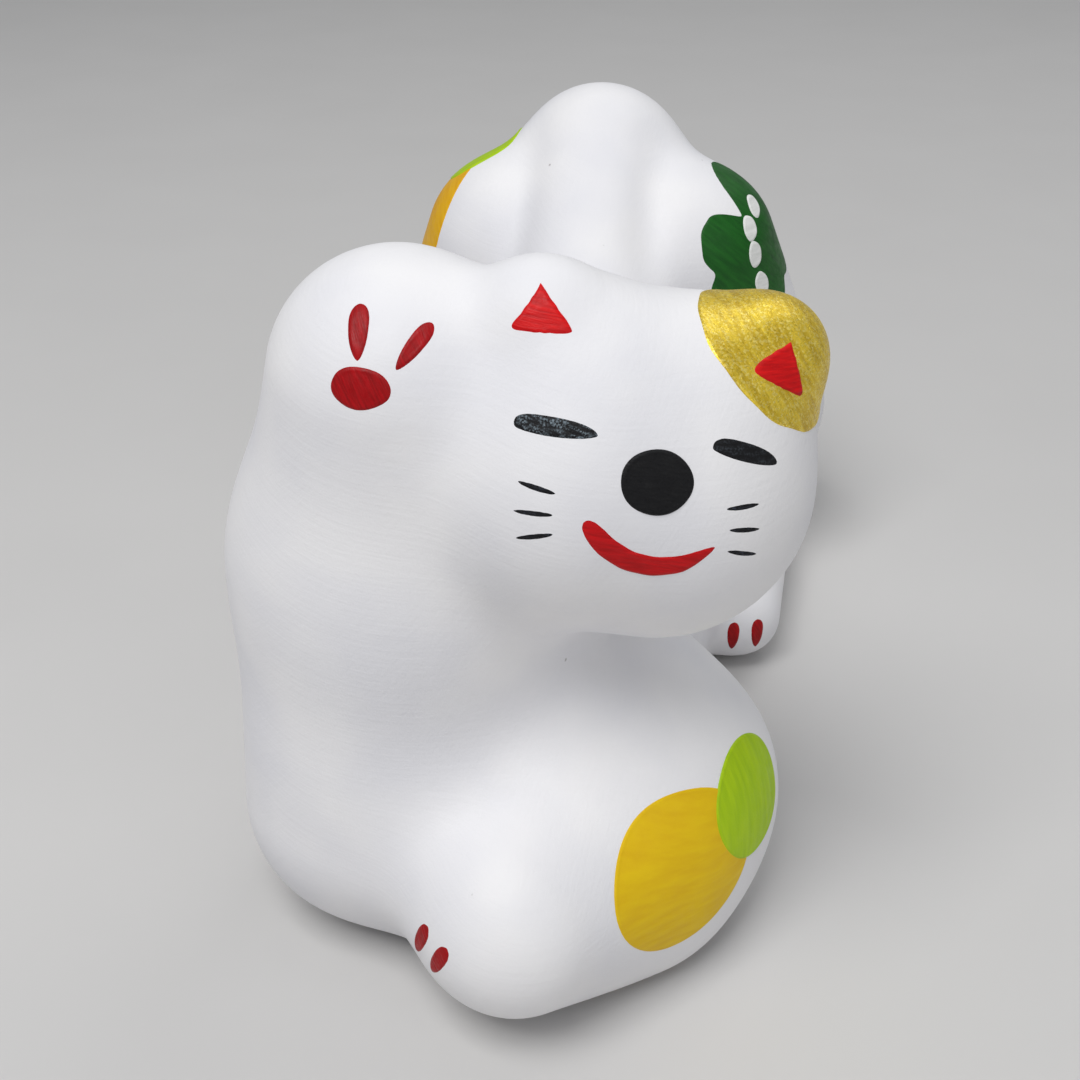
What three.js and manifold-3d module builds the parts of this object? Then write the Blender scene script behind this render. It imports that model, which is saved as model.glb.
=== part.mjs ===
// A beckoning cat in fired white clay, lying low with its rump in the air. It is one hollow casting
// that stands on its own flat base, with a drain hole, and each coat of paint on it is a thin film.
// Millimetres and degrees, +Z up. The cat faces -Y, and its own right side is at -X.
import * as THREE from "three";
import { MarchingCubes } from "three/addons/objects/MarchingCubes.js";
import { mergeVertices } from "three/addons/utils/BufferGeometryUtils.js";
import Module from "manifold-3d";

// Driving dimensions. Places are [x, y, z].
const SHOULDER = [-15.9, -28.9, 17]; // foot of the column that the raised right arm grows from
const SHOULDER_RADIUS = 17.6;
const ELBOW = [-11.7, -22.8, 50.4]; // the thick middle of the raised arm
const ELBOW_RADIUS = 21.3;
const RAISED_PAW = [-10.2, -28.5, 76.8];
const RAISED_PAW_RADIUS = 15.3;
const CHEST = [5.9, -20.6, 17];
const CHEST_RADII = [30.3, 20.7, 23.5];
const FOREARM_ELBOW = [12.8, -29.1, 10.7]; // left forearm, folded across the front
const FOREARM_ELBOW_RADIUS = 18.2;
const FOREPAW = [6, -47.1, 14.2];
const FOREPAW_RADIUS = 12;
const HEAD = [15, -27.8, 67.7];
const HEAD_TURN = 18; // towards the cat's left
const HEAD_TILT = 13; // left ear down
const CHEEK_SPREAD = 4.5; // each way from the middle of the head
const CHEEK_DROP = 1.2;
const CHEEK_RADIUS = 18.5;
const CROWN_SPREAD = 4;
const CROWN_RISE = 8;
const CROWN_RADIUS = 12.4;
const EAR_ROOT = [10, 11.3]; // across and up from the middle of the head
const EAR_ROOT_RADIUS = 7.7;
const EAR_TIP = [13.2, 16];
const EAR_TIP_RADIUS = 6.6;
const NECK = [2, -8, 34];
const WAIST = [2, 30, 36];
const BACK_RADIUS = 15;
const RUMP = [-0.8, 73.7, 70.8];
const RUMP_RADIUS = 14.9;
const HAUNCH_SPREAD = 15.2; // upper haunch, each way from the middle
const HAUNCH_RADIUS = 14.7;
const HAUNCH_BELOW_RUMP = [-6.5, -10.5]; // along and up from the rump
const THIGH_SPREAD = 21.4;
const THIGH_RADIUS = 19.6;
const THIGH_BELOW_RUMP = [1.4, -41.6];
const HEEL_SPREAD = 25.1;
const HEEL_RADIUS = 12.1;
const HEEL_FROM_RUMP = -0.7; // along
const HEEL_HEIGHT = 9.5;
const HIND_FOOT_LENGTH = 37; // heel to toes, middle to middle
const HIND_TOE_SPREAD = 28.7;
const HIND_TOE_RADIUS = 7.3;
const HIND_TOE_HEIGHT = 7.5;
const BELLY_RADII = [24.5, 50, 27];
const BELLY_FROM_WAIST = -1; // across
const BELLY_HEIGHT = 16;
const TAIL_ROOT_FROM_RUMP = [14, -26]; // a short round tail, moulded against the rump
const TAIL_TIP_FROM_RUMP = [20, -17];
const TAIL_ROOT_RADIUS = 10;
const TAIL_TIP_RADIUS = 6.5;

// How far each valley between two forms is filled, as a thumb smooths wet clay.
const ARM_FILL = 10;
const CHEST_FILL = 18;
const FOREARM_FILL = 19;
const BACK_FILL = 16;
const CROWN_FILL = 10;
const EAR_FILL = 9;
const HEAD_FILL = 10;
const THIGH_FILL = 8;
const FOOT_FILL = 9;
const BELLY_FILL = 12;
const TAIL_FILL = 10;
const HIND_FILL = 12;

const WALL = 3; // thickness of the casting
const DRAIN_RADIUS = 6;
const DRAIN_REACH = 14; // how long its cutter is, more than two walls
const DRAIN_FROM_WAIST = 2; // along, in the flat base
const PAINT = 0.4; // thickness of a coat
const CLEARANCE = 0.3; // kept between touching pieces

// The painted marks. A place is [across, up] in the frame of what it is painted on, and a turn is
// anticlockwise from across.
const NOSE = [-1, 6.5];
const NOSE_RADII = [3.9, 3.2];
const SMILE = [[-7.3, 1], [-5, -0.9], [-2.1, -2.3], [0.8, -2.6], [3.6, -1.9], [6.6, 0.5]];
const SMILE_HALF_WIDTHS = [0.9, 1.2, 1.25, 1.25, 1.1, 0.3];
const EYE_LENGTH = 8.4;
const EYE_HEIGHT = 1.7;
const EYE_ARCH = 1.3; // how far its upper edge is drawn up, against its height
const EYE_SAG = -0.25;
const EYE_HANDLES = [[-0.8, 0.4], [0.6, -0.6]]; // upper and lower edge, against its half length
const EYES = [["right", [-11.9, 9], 12], ["left", [8.4, 9.6], -9.5]]; // side, middle, turn
const WHISKER_LENGTH = 4.2;
const WHISKER_WIDTH = 0.8;
const STROKE_SWELL = 1.25; // how far a stroke's sides are drawn out, against its half width
const WHISKERS = [
  ["right_whisker_upper", [-13, 3.4], 2],
  ["right_whisker_middle", [-12.8, 0.8], 15],
  ["right_whisker_lower", [-12.2, -1.7], 29],
  ["left_whisker_upper", [9, 5], 8],
  ["left_whisker_middle", [9.8, 2.6], 0],
  ["left_whisker_lower", [10.3, -0.1], -8],
]; // name, middle, turn
const RIGHT_EAR_MARK = [[-14.9, 20.9], [-17.4, 16.4], [-11.2, 17.9]]; // corners
const LEFT_EAR_MARK = [[12.9, 19.9], [7.9, 17.4], [15.7, 14.7]];
const EAR_MARK_GAP = 0.9; // bare clay between the left mark and the gold
const GOLD_RADIUS = 11.8; // the gold coat fills a ball about the left ear
const GOLD_FROM_EAR_TIP = [1.2, 5.9, 4.6]; // across, up and out
const PALM_RAISE = 15; // the raised palm looks up a little
const PAD = [-0.5, 1.3];
const PAD_RADII = [3.3, 2.2];
const TOE_MARK_LENGTH = 5.4;
const TOE_MARK_WIDTH = 2.4;
const PALM_TOES = [[[-1.2, 6.9], -84], [[4.8, 5.8], -123]]; // middle and turn of each stroke
const KNUCKLES_TURN = -40;
const KNUCKLES_RAISE = -15;
const KNUCKLE_TOES = [[[-3.4, 4.2], -115], [[0.2, 3.6], -118]];
const HIND_TOES_TURN = 10;
const HIND_TOES_RAISE = 10;
const HIND_TOES = [-1.5, 2.6]; // across, outwards
const HIND_TOES_DROP = 0.9;
const HIND_TOES_STROKE = -90; // straight down
const FOREARM_TURN = 35;
const FOREARM_RAISE = 15;
const YELLOW_SPOT = [4, 3.6];
const YELLOW_RADII = [11.2, 9.8];
const YELLOW_TURN = 20;
const LIME_SPOT = [16, 8.3];
const LIME_RADII = [6.3, 7.6];
const LIME_TURN = -12;
const FLANK_TURN = 60;
const FLANK_RAISE = 25;
const ORANGE_SPOT = [-9.5, -1];
const ORANGE_RADII = [10.6, 12];
const HAUNCH_LIME_SPOT = [-8, 12.5];
const HAUNCH_LIME_RADII = [7.5, 6.5];
const PINE = [1.5, -2.5]; // the bough's lobes are drawn round this
const PINE_EDGE = [
  [87, 15], [97, 13.6], [106, 11.5], [114, 8.6], [124, 6.6], [131, 8], [138, 12], [154, 12.5],
  [176, 12.2], [190, 10.6], [200, 12], [220, 12.5], [238, 11], [250, 9.5], [262, 11.5], [280, 12.5],
  [298, 11], [310, 9], [325, 11], [345, 11.5], [365, 10.5], [382, 8.5], [398, 11], [420, 14], [435, 15.3],
]; // angle and reach
const PINE_DOTS = [[[2, 3.7], -35], [[-1.5, 0.7], -15], [[-1.6, -3.6], 5], [[-0.4, -8.7], 25]];
const PINE_DOT_RADII = [1.6, 2.2];

const SAMPLES = 32; // steps each way across the space that the form is sampled in, a power of two
const SPACE_MARGIN = [26, 24, 34]; // empty room on each side, which also sets how coarse the steps are
const STROKE_REACH = 24; // from the middle of a limb out past its skin, short of the next limb
const LONG_ROOM = 1.2; // how much wider the hollow's sampling box is: its steps are coarser
const STROKE_STEPS = 5; // straight steps in each curve of an outline
const SLOPE_STEP = 0.05; // for measuring the form's slope
const PASSES = 4; // that it takes for a point to settle on the surface
const FIELD_FLOOR = 0.1; // keeps a sample from falling on the surface, which would pinch it
const WELD = 1e-3; // corners nearer than this are one
const SOLID_WELD = 1e-4; // the same, for a surface that is already joined up
const NEXT_TO_NOTHING = 1e-6; // keeps a division safe at an egg's middle
const DRAIN_SIDES = 32;
const BALL_SIDES = [32, 20]; // round and from pole to pole
const MOST_TRIANGLES = 30000; // room for a surface while it is made
const BIG = 400; // longer than the cat, for cutting solids

const WHITE = new THREE.MeshStandardMaterial({ color: 0xf1eef0, roughness: 0.75, metalness: 0 });
const BLACK = new THREE.MeshStandardMaterial({ color: 0x0b0b0c, roughness: 0.7, metalness: 0 });
const RED = new THREE.MeshStandardMaterial({ color: 0xb4101c, roughness: 0.6, metalness: 0 });
const GOLD = new THREE.MeshStandardMaterial({ color: 0xcaa42c, roughness: 0.35, metalness: 0.9 });
const YELLOW = new THREE.MeshStandardMaterial({ color: 0xe2b90c, roughness: 0.6, metalness: 0 });
const LIME = new THREE.MeshStandardMaterial({ color: 0xa5c40a, roughness: 0.6, metalness: 0 });
const GREEN = new THREE.MeshStandardMaterial({ color: 0x0c5416, roughness: 0.6, metalness: 0 });

const wasm = await Module();
wasm.setup();

// ---- The clay form: a signed distance, negative inside ----

// Distance to two balls and the cone that is tangent to both.
function limb(a, b, radiusA, radiusB) {
  const [ax, ay, az] = a;
  const [dx, dy, dz] = [b[0] - ax, b[1] - ay, b[2] - az];
  const length2 = dx * dx + dy * dy + dz * dz;
  const taper = radiusA - radiusB;
  const slope2 = length2 - taper * taper;
  return (x, y, z) => {
    const [px, py, pz] = [x - ax, y - ay, z - az];
    const along = px * dx + py * dy + pz * dz;
    const past = along - length2;
    const [qx, qy, qz] = [px * length2 - dx * along, py * length2 - dy * along, pz * length2 - dz * along];
    const side2 = qx * qx + qy * qy + qz * qz;
    const lean = Math.sign(taper) * taper * taper * side2;
    if (Math.sign(past) * slope2 * past * past * length2 > lean)
      return Math.sqrt(side2 + past * past * length2) / length2 - radiusB;
    if (Math.sign(along) * slope2 * along * along * length2 < lean)
      return Math.sqrt(side2 + along * along * length2) / length2 - radiusA;
    return (Math.sqrt((side2 * slope2) / length2) + along * taper) / length2 - radiusA;
  };
}

// Near enough the distance to an egg with the three given radii.
function egg([cx, cy, cz], [rx, ry, rz]) {
  return (x, y, z) => {
    const [ux, uy, uz] = [(x - cx) / rx, (y - cy) / ry, (z - cz) / rz];
    const reach = Math.hypot(ux, uy, uz);
    return (reach * (reach - 1)) / Math.max(Math.hypot(ux / rx, uy / ry, uz / rz), NEXT_TO_NOTHING);
  };
}

// The nearer of two forms, with the valley between them filled as a thumb smooths clay.
function smoothed(formA, formB, reach) {
  return (x, y, z) => {
    const a = formA(x, y, z);
    const b = formB(x, y, z);
    const meet = Math.max(reach - Math.abs(a - b), 0) / reach;
    return Math.min(a, b) - (meet * meet * meet * reach) / 6;
  };
}

// A frame whose +Z leaves the surface: turned about the vertical, raised, then rolled clockwise.
function facing(centre, turn, raise, roll) {
  const [a, e, r] = [turn, raise, roll].map(THREE.MathUtils.degToRad);
  const out = new THREE.Vector3(Math.sin(a) * Math.cos(e), -Math.cos(a) * Math.cos(e), Math.sin(e));
  const across = new THREE.Vector3(Math.cos(a), Math.sin(a), 0);
  across.applyAxisAngle(out, -r);
  const up = new THREE.Vector3().crossVectors(out, across);
  return new THREE.Matrix4().makeBasis(across, up, out).setPosition(...centre);
}

const face = facing(HEAD, HEAD_TURN, 0, HEAD_TILT);
const onHead = (across, up, out = 0) => new THREE.Vector3(across, up, out).applyMatrix4(face).toArray();
const fromRump = (x, [along, up]) => [x, RUMP[1] + along, RUMP[2] + up];

function headForm() {
  let head = limb(
    onHead(-CHEEK_SPREAD, -CHEEK_DROP),
    onHead(CHEEK_SPREAD, -CHEEK_DROP),
    CHEEK_RADIUS,
    CHEEK_RADIUS,
  );
  const crown = limb(
    onHead(-CROWN_SPREAD, CROWN_RISE),
    onHead(CROWN_SPREAD, CROWN_RISE),
    CROWN_RADIUS,
    CROWN_RADIUS,
  );
  head = smoothed(head, crown, CROWN_FILL);
  for (const side of [-1, 1]) {
    const root = onHead(side * EAR_ROOT[0], EAR_ROOT[1]);
    const tip = onHead(side * EAR_TIP[0], EAR_TIP[1]);
    head = smoothed(head, limb(root, tip, EAR_ROOT_RADIUS, EAR_TIP_RADIUS), EAR_FILL);
  }
  return head;
}

function frontForm() {
  const upperArm = limb(SHOULDER, ELBOW, SHOULDER_RADIUS, ELBOW_RADIUS);
  const raisedArm = limb(ELBOW, RAISED_PAW, ELBOW_RADIUS, RAISED_PAW_RADIUS);
  const forearm = limb(FOREARM_ELBOW, FOREPAW, FOREARM_ELBOW_RADIUS, FOREPAW_RADIUS);
  let front = smoothed(upperArm, raisedArm, ARM_FILL);
  front = smoothed(front, egg(CHEST, CHEST_RADII), CHEST_FILL);
  front = smoothed(front, forearm, FOREARM_FILL);
  return smoothed(front, limb(NECK, WAIST, BACK_RADIUS, BACK_RADIUS), BACK_FILL);
}

function hindForm() {
  let hind = limb(WAIST, RUMP, BACK_RADIUS, RUMP_RADIUS);
  for (const side of [-1, 1]) {
    const thigh = fromRump(side * THIGH_SPREAD, THIGH_BELOW_RUMP);
    const haunch = fromRump(side * HAUNCH_SPREAD, HAUNCH_BELOW_RUMP);
    hind = smoothed(hind, limb(thigh, haunch, THIGH_RADIUS, HAUNCH_RADIUS), THIGH_FILL);
    const [heel, toes] = hindFoot(side);
    hind = smoothed(hind, limb(heel, toes, HEEL_RADIUS, HIND_TOE_RADIUS), FOOT_FILL);
  }
  const belly = [WAIST[0] + BELLY_FROM_WAIST, WAIST[1], BELLY_HEIGHT];
  hind = smoothed(hind, egg(belly, BELLY_RADII), BELLY_FILL);
  const tailRoot = fromRump(0, TAIL_ROOT_FROM_RUMP);
  const tailTip = fromRump(0, TAIL_TIP_FROM_RUMP);
  return smoothed(hind, limb(tailRoot, tailTip, TAIL_ROOT_RADIUS, TAIL_TIP_RADIUS), TAIL_FILL);
}

function hindFoot(side) {
  const heel = [side * HEEL_SPREAD, RUMP[1] + HEEL_FROM_RUMP, HEEL_HEIGHT];
  const toes = [side * HIND_TOE_SPREAD, heel[1] - HIND_FOOT_LENGTH, HIND_TOE_HEIGHT];
  return [heel, toes];
}

const clay = smoothed(smoothed(frontForm(), headForm(), HEAD_FILL), hindForm(), HIND_FILL);

// ---- Solids ----

function solidOf(geometry) {
  const bare = geometry.clone();
  for (const name of Object.keys(bare.attributes)) if (name !== "position") bare.deleteAttribute(name);
  const merged = mergeVertices(bare, SOLID_WELD);
  const triVerts = [];
  for (let i = 0; i < merged.index.count; i += 3) {
    const [a, b, c] = [0, 1, 2].map((k) => merged.index.getX(i + k));
    if (a !== b && b !== c && c !== a) triVerts.push(a, b, c);
  }
  const mesh = new wasm.Mesh({
    numProp: 3,
    vertProperties: new Float32Array(merged.attributes.position.array),
    triVerts: new Uint32Array(triVerts),
  });
  return new wasm.Manifold(mesh);
}

function geometryOf(solid) {
  const mesh = solid.getMesh();
  const geometry = new THREE.BufferGeometry();
  geometry.setAttribute("position", new THREE.BufferAttribute(mesh.vertProperties, mesh.numProp));
  geometry.setIndex(new THREE.BufferAttribute(mesh.triVerts, 1));
  geometry.computeVertexNormals();
  return geometry;
}

// The box of space that the cat is sampled in.
const lowest = new THREE.Vector3(
  Math.min(SHOULDER[0] - SHOULDER_RADIUS, ELBOW[0] - ELBOW_RADIUS),
  FOREPAW[1] - FOREPAW_RADIUS,
  CHEST[2] - CHEST_RADII[2],
);
const highest = new THREE.Vector3(
  Math.max(THIGH_SPREAD + THIGH_RADIUS, HEAD[0] + CHEEK_SPREAD + CHEEK_RADIUS),
  RUMP[1] + THIGH_BELOW_RUMP[0] + THIGH_RADIUS + TAIL_TIP_RADIUS,
  Math.max(RAISED_PAW[2] + RAISED_PAW_RADIUS, RUMP[2] + RUMP_RADIUS),
);
lowest.x = Math.min(lowest.x, -highest.x);
const room = new THREE.Box3(lowest, highest).expandByVector(new THREE.Vector3(...SPACE_MARGIN));
const HALF_SPACE = room.getSize(new THREE.Vector3()).divideScalar(2).toArray();
const LONG_SPACE = HALF_SPACE.map(() => Math.max(...HALF_SPACE) * LONG_ROOM);
const SPACE_CENTRE = room.getCenter(new THREE.Vector3()).toArray();

// Moves a point along the form's slope until the distance there is the level asked for.
function drawnTo(level, point) {
  const step = SLOPE_STEP;
  for (let pass = 0; pass < PASSES; pass++) {
    const [x, y, z] = point;
    const miss = clay(x, y, z) - level;
    const slope = [
      clay(x + step, y, z) - clay(x - step, y, z),
      clay(x, y + step, z) - clay(x, y - step, z),
      clay(x, y, z + step) - clay(x, y, z - step),
    ].map((difference) => difference / (2 * step));
    const steepness2 = slope[0] ** 2 + slope[1] ** 2 + slope[2] ** 2;
    for (let axis = 0; axis < 3; axis++) point[axis] -= (miss * slope[axis]) / steepness2;
  }
  return point;
}

// The closed surface where the form's distance is the given level, before the base is cut flat.
function surfaceAt(level, halfSpace) {
  const cubes = new MarchingCubes(SAMPLES, new THREE.MeshBasicMaterial(), false, false, MOST_TRIANGLES);
  cubes.isolation = 0;
  const place = (i, axis) => SPACE_CENTRE[axis] + (i / cubes.halfsize - 1) * halfSpace[axis];
  for (let k = 0; k < SAMPLES; k++)
    for (let j = 0; j < SAMPLES; j++)
      for (let i = 0; i < SAMPLES; i++) {
        const depth = level - clay(place(i, 0), place(j, 1), place(k, 2));
        const kept = Math.abs(depth) < FIELD_FLOOR ? Math.sign(depth || 1) * FIELD_FLOOR : depth;
        cubes.field[i + j * SAMPLES + k * SAMPLES * SAMPLES] = kept;
      }
  cubes.update();
  const used = cubes.geometry.drawRange.count * 3;
  const places = cubes.geometry.attributes.position.array.slice(0, used);
  const geometry = new THREE.BufferGeometry();
  geometry.setAttribute("position", new THREE.BufferAttribute(places, 3));
  geometry.scale(...halfSpace).translate(...SPACE_CENTRE);
  return mergeVertices(geometry, WELD);
}

// The same surface moved to another level, vertex for vertex, so that films stay evenly thick.
function movedTo(level, surface) {
  const moved = surface.clone();
  const places = moved.attributes.position;
  for (let i = 0; i < places.count; i++)
    places.setXYZ(i, ...drawnTo(level, [places.getX(i), places.getY(i), places.getZ(i)]));
  return moved;
}

function below(height) {
  return solidOf(new THREE.BoxGeometry(BIG, BIG, BIG).translate(0, 0, height - BIG / 2));
}

function bodyCasting(skin) {
  const inner = solidOf(movedTo(-WALL, surfaceAt(-WALL, LONG_SPACE)));
  const pockets = inner.subtract(below(WALL)).decompose();
  // A pocket that the slip closes off sets solid, so only the one that drains is hollow.
  const hollow = pockets.sort((a, b) => b.volume() - a.volume())[0];
  const drain = new THREE.CylinderGeometry(DRAIN_RADIUS, DRAIN_RADIUS, DRAIN_REACH, DRAIN_SIDES);
  drain.rotateX(Math.PI / 2).translate(WAIST[0], WAIST[1] + DRAIN_FROM_WAIST, 0);
  return solidOf(movedTo(0, skin)).subtract(below(0)).subtract(hollow).subtract(solidOf(drain));
}

// ---- Outlines of the painted marks, each drawn about its own frame's origin ----

function oval([u, v], [ru, rv], turn = 0, grow = 0) {
  const shape = new THREE.Shape();
  shape.absellipse(u, v, ru + grow, rv + grow, 0, 2 * Math.PI, false, THREE.MathUtils.degToRad(turn));
  return shape;
}

// A brush stroke: round at the start, drawn out to a point at the end.
function stroke([u, v], length, width, turn) {
  const shape = new THREE.Shape();
  const half = width / 2;
  shape.moveTo(length / 2, 0);
  shape.bezierCurveTo(length / 4, half, 0, half * STROKE_SWELL, -length / 2 + half, half);
  shape.absarc(-length / 2 + half, 0, half, Math.PI / 2, (3 * Math.PI) / 2, false);
  shape.bezierCurveTo(0, -half * STROKE_SWELL, length / 4, -half, length / 2, 0);
  return turned(shape, [u, v], turn);
}

// Three straight sides, each corner moved out from the middle by the given amount.
function triangle(corners, grow = 0) {
  const points = corners.map((corner) => new THREE.Vector2(...corner));
  const middle = points[0].clone().add(points[1]).add(points[2]).divideScalar(3);
  const grown = points.map((point) => {
    const outward = point.clone().sub(middle);
    return point.add(outward.setLength(grow));
  });
  return new THREE.Shape(grow ? grown : points);
}

// A closed, smiling eye: arched above and nearly flat below, highest near the cat's right.
function eye([u, v], turn) {
  const shape = new THREE.Shape();
  const half = EYE_LENGTH / 2;
  const heights = [EYE_HEIGHT * EYE_ARCH, EYE_HEIGHT * EYE_SAG];
  shape.moveTo(-half, 0);
  EYE_HANDLES.forEach(([first, second], edge) => {
    const end = edge === 0 ? half : -half;
    shape.bezierCurveTo(half * first, heights[edge], half * second, heights[edge], end, 0);
  });
  return turned(shape, [u, v], turn);
}

// A one-sided smile: a stroke along a curve, full at the cat's right and thin at its left.
function smile() {
  const path = new THREE.SplineCurve(SMILE.map((place) => new THREE.Vector2(...place)));
  const widths = new THREE.SplineCurve(SMILE_HALF_WIDTHS.map((half, i) => new THREE.Vector2(i, half)));
  const [upper, lower] = [[], []];
  const steps = STROKE_STEPS * (SMILE.length - 2);
  for (let i = 0; i <= steps; i++) {
    const middle = path.getPoint(i / steps);
    const tangent = path.getTangent(i / steps);
    const across = new THREE.Vector2(-tangent.y, tangent.x).multiplyScalar(widths.getPoint(i / steps).y);
    upper.push(middle.clone().add(across));
    lower.push(middle.clone().sub(across));
  }
  return new THREE.Shape([...lower, ...upper.reverse()]);
}

// A bough of round lobes, drawn by its reach at each angle.
function bough() {
  return new THREE.Shape(
    PINE_EDGE.map(([angle, reach]) => {
      const a = THREE.MathUtils.degToRad(angle);
      return new THREE.Vector2(PINE[0] + reach * Math.cos(a), PINE[1] + reach * Math.sin(a));
    }),
  );
}

function turned(shape, [u, v], turn) {
  const a = THREE.MathUtils.degToRad(turn);
  const points = shape.getPoints(STROKE_STEPS).map((point) => {
    const across = point.x * Math.cos(a) - point.y * Math.sin(a);
    return new THREE.Vector2(u + across, v + point.x * Math.sin(a) + point.y * Math.cos(a));
  });
  return new THREE.Shape(points);
}

// The column that an outline sweeps from its frame's middle out past the surface. A column that cuts
// a hole is longer at both ends by what it has to spare, so that no skin is left across its end.
function swept(shape, frame, spare = 0) {
  const depth = STROKE_REACH + 2 * spare;
  const sweep = { depth, bevelEnabled: false, curveSegments: STROKE_STEPS + 1 };
  const column = new THREE.ExtrudeGeometry(shape, sweep).translate(0, 0, -spare);
  return solidOf(column.applyMatrix4(frame));
}

// ---- The cat ----

const cat = new THREE.Group();
const skin = surfaceAt(0, HALF_SPACE);
const film = solidOf(movedTo(CLEARANCE + PAINT, skin)).subtract(solidOf(movedTo(CLEARANCE, skin)));

function add(name, solid, material) {
  const mesh = new THREE.Mesh(geometryOf(solid), material);
  mesh.name = name;
  cat.add(mesh);
}

function paint(name, column, material) {
  add(name, film.intersect(column), material);
}

add("body_casting", bodyCasting(skin), WHITE);

// Face
paint("nose", swept(oval(NOSE, NOSE_RADII), face), BLACK);
paint("mouth", swept(smile(), face), RED);
for (const [side, place, turn] of EYES) paint(`${side}_eye`, swept(eye(place, turn), face), BLACK);
for (const [name, place, turn] of WHISKERS)
  paint(name, swept(stroke(place, WHISKER_LENGTH, WHISKER_WIDTH, turn), face), BLACK);

// Ears
paint("right_ear_mark", swept(triangle(RIGHT_EAR_MARK), face), RED);
paint("left_ear_mark", swept(triangle(LEFT_EAR_MARK), face), RED);
const [goldAcross, goldUp, goldOut] = GOLD_FROM_EAR_TIP;
const goldCentre = onHead(EAR_TIP[0] + goldAcross, EAR_TIP[1] + goldUp, goldOut);
const goldBall = new THREE.SphereGeometry(GOLD_RADIUS, ...BALL_SIDES).translate(...goldCentre);
const leftMarkHole = swept(triangle(LEFT_EAR_MARK, EAR_MARK_GAP), face, CLEARANCE);
paint("left_ear_gold", solidOf(goldBall).subtract(leftMarkHole), GOLD);

// Paws
function paintToe(name, place, turn, frame) {
  paint(name, swept(stroke(place, TOE_MARK_LENGTH, TOE_MARK_WIDTH, turn), frame), RED);
}
const palm = facing(RAISED_PAW, 0, PALM_RAISE, 0);
paint("raised_paw_pad", swept(oval(PAD, PAD_RADII), palm), RED);
PALM_TOES.forEach(([place, turn], i) => paintToe(`raised_paw_toe_${i + 1}`, place, turn, palm));
const knuckles = facing(FOREPAW, KNUCKLES_TURN, KNUCKLES_RAISE, 0);
KNUCKLE_TOES.forEach(([place, turn], i) => paintToe(`forepaw_toe_${i + 1}`, place, turn, knuckles));
for (const [name, side] of [["right", -1], ["left", 1]]) {
  const toes = facing(hindFoot(side)[1], side * HIND_TOES_TURN, HIND_TOES_RAISE, 0);
  HIND_TOES.forEach((across, i) =>
    paintToe(`${name}_hind_toe_${i + 1}`, [side * across, -HIND_TOES_DROP], HIND_TOES_STROKE, toes),
  );
}

// Spots on the left forearm: the lime one laps over the yellow one, which is cut back round it.
const forearm = facing(FOREARM_ELBOW, FOREARM_TURN, FOREARM_RAISE, 0);
const limeHole = swept(oval(LIME_SPOT, LIME_RADII, LIME_TURN, CLEARANCE), forearm, CLEARANCE);
const yellow = swept(oval(YELLOW_SPOT, YELLOW_RADII, YELLOW_TURN), forearm).subtract(limeHole);
paint("forearm_lime_spot", swept(oval(LIME_SPOT, LIME_RADII, LIME_TURN), forearm), LIME);
paint("forearm_yellow_spot", yellow, YELLOW);

// Spots on the right haunch
const flank = (side) => {
  const haunch = fromRump(side * HAUNCH_SPREAD, HAUNCH_BELOW_RUMP);
  return facing(haunch, side * FLANK_TURN, FLANK_RAISE, 0);
};
const haunchLimeEdge = oval(HAUNCH_LIME_SPOT, HAUNCH_LIME_RADII, 0, CLEARANCE);
const haunchLimeHole = swept(haunchLimeEdge, flank(-1), CLEARANCE);
const orange = swept(oval(ORANGE_SPOT, ORANGE_RADII), flank(-1)).subtract(haunchLimeHole);
paint("haunch_lime_spot", swept(oval(HAUNCH_LIME_SPOT, HAUNCH_LIME_RADII), flank(-1)), LIME);
paint("haunch_orange_spot", orange, YELLOW);

// Pine bough on the left haunch, round a row of white dots
let pine = swept(bough(), flank(1));
PINE_DOTS.forEach(([place, turn], i) => {
  const dotHole = swept(oval(place, PINE_DOT_RADII, turn, CLEARANCE), flank(1), CLEARANCE);
  pine = pine.subtract(dotHole);
  paint(`pine_dot_${i + 1}`, swept(oval(place, PINE_DOT_RADII, turn), flank(1)), WHITE);
});
paint("pine_sprig", pine, GREEN);

export default cat;
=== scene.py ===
# A beckoning cat: a palm-sized souvenir in fired white clay, lying low with its rump raised,
# its right paw lifted by its ear, and painted by hand over a matte white ground.
import math

import bpy
import numpy as np
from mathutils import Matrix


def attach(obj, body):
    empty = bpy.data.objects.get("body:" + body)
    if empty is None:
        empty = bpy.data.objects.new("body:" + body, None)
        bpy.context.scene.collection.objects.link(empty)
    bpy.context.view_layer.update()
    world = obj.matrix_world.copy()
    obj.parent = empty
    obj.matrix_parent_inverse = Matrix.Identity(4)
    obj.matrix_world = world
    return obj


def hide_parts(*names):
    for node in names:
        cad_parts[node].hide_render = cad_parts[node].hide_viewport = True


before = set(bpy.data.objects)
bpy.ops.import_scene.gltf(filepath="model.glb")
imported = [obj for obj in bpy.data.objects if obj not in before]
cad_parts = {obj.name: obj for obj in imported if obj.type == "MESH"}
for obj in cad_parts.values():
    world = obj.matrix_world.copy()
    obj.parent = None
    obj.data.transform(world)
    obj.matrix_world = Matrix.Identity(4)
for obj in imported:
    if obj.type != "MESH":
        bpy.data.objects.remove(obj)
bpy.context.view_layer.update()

MM = 0.001

# ---- The casting ----
# One hollow shell of fired white clay, slip-cast and sponged smooth, so every valley is soft.
# Its flat base has a drain hole with a sponged rim. A matte white ground is brushed on outside,
# and the base and the hollow stay bare clay. Lengths here are in millimetres.
WALL = 3.0
DRAIN_RADIUS = 6.0
DRAIN_PLACE = (2.0, 32.0)
BASE_EDGE = 1.6  # rounding where the sides meet the flat base

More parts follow.
